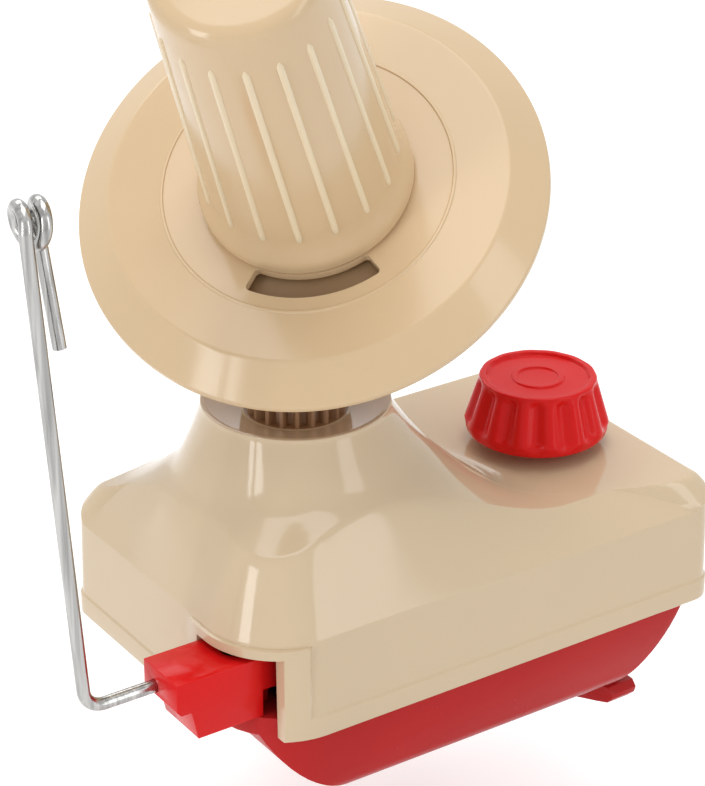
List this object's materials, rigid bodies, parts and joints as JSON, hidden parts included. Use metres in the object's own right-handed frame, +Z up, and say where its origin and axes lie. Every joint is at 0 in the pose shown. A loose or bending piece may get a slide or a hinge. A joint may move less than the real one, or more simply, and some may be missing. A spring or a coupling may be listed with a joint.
{
  "type": "yarn ball winder",
  "caption": "Hand-cranked yarn ball winder: moulded case, tilted ribbed cone on a flanged disc, fluted clamp knob with jaw, and a bent wire yarn guide.",
  "frame": {"origin": "on the vertical winding axis at the tub's flat underside, which meets the table", "axes": "+Z up along the winding shaft, +X along the case towards the clamp knob, +Y towards the side that carries the crank"},
  "size_m": [0.1739, 0.1434, 0.2348],
  "materials": {
    "cover": "glossy beige moulding",
    "tub": "glossy deep red moulding",
    "red_plastic": "glossy red moulding",
    "gear": "brown moulded gear, satin",
    "inner_plastic": "cream moulding, satin",
    "steel": "plated steel, satin",
    "wire": "bright drawn steel wire",
    "pad": "dark rubber, matt"
  },
  "bodies": {
    "case": {"top_cover": "cover", "base_tub": "tub", "sun_gear": "gear", "floor_bush": "inner_plastic", "crank_bush": "inner_plastic", "case_screws": "steel", "clamp_washer": "steel", "guide_screw": "steel"},
    "head": {"main_shaft": "steel", "drive_pinion": "inner_plastic", "rotor_arm": "red_plastic", "rotor_screw": "steel"},
    "spool": {"flange_disc": "cover", "winding_cone": "cover", "spool_hub": "inner_plastic", "spool_gear": "gear", "spool_gear_screw": "steel", "cone_screws": "steel"},
    "crank": {"crank_shaft": "steel", "crown_gear": "inner_plastic", "crank_arm": "cover", "arm_screw": "steel", "grip_pin": "steel"},
    "grip": {"crank_grip": "red_plastic"},
    "knob": {"clamp_knob": "red_plastic", "clamp_bolt": "steel"},
    "jaw": {"clamp_jaw": "tub", "jaw_nut": "steel", "jaw_pad": "pad"},
    "guide": {"guide_block": "red_plastic", "guide_wire": "wire"}
  },
  "joints": [
    {"name": "crank_turn", "type": "hinge", "parent": "case", "child": "crank", "pos_m": [0, 0.04, 0.029], "axis": [0, 1, 0], "continuous": true},
    {"name": "grip_spin", "type": "hinge", "parent": "crank", "child": "grip", "pos_m": [0.04384, 0.07, -0.01484], "axis": [0, 1, 0], "continuous": true},
    {"name": "head_spin", "type": "hinge", "parent": "case", "child": "head", "pos_m": [0, 0, 0.06], "axis": [0, 0, 1], "continuous": true},
    {"name": "spool_spin", "type": "hinge", "parent": "head", "child": "spool", "pos_m": [0, 0, 0.1436], "axis": [-0.4653, -0.4031, 0.788], "continuous": true},
    {"name": "clamp_turn", "type": "hinge", "parent": "case", "child": "knob", "pos_m": [0.0701, 0, 0.05], "axis": [0, 0, 1], "range_deg": [0, 5760]},
    {"name": "jaw_slide", "type": "slide", "parent": "case", "child": "jaw", "axis": [0, 0, -1], "range_m": [0, 0.016]},
    {"name": "guide_swing", "type": "hinge", "parent": "case", "child": "guide", "pos_m": [-0.0322, -0.0254, 0.03], "axis": [0, 0, 1], "range_deg": [0, 30]}
  ],
  "couplings": [
    {"joint": "head_spin", "follows": "crank_turn", "ratio": -4},
    {"joint": "spool_spin", "follows": "crank_turn", "ratio": -1.4815},
    {"joint": "clamp_turn", "follows": "jaw_slide", "rad_per_m": 6283.2}
  ]
}
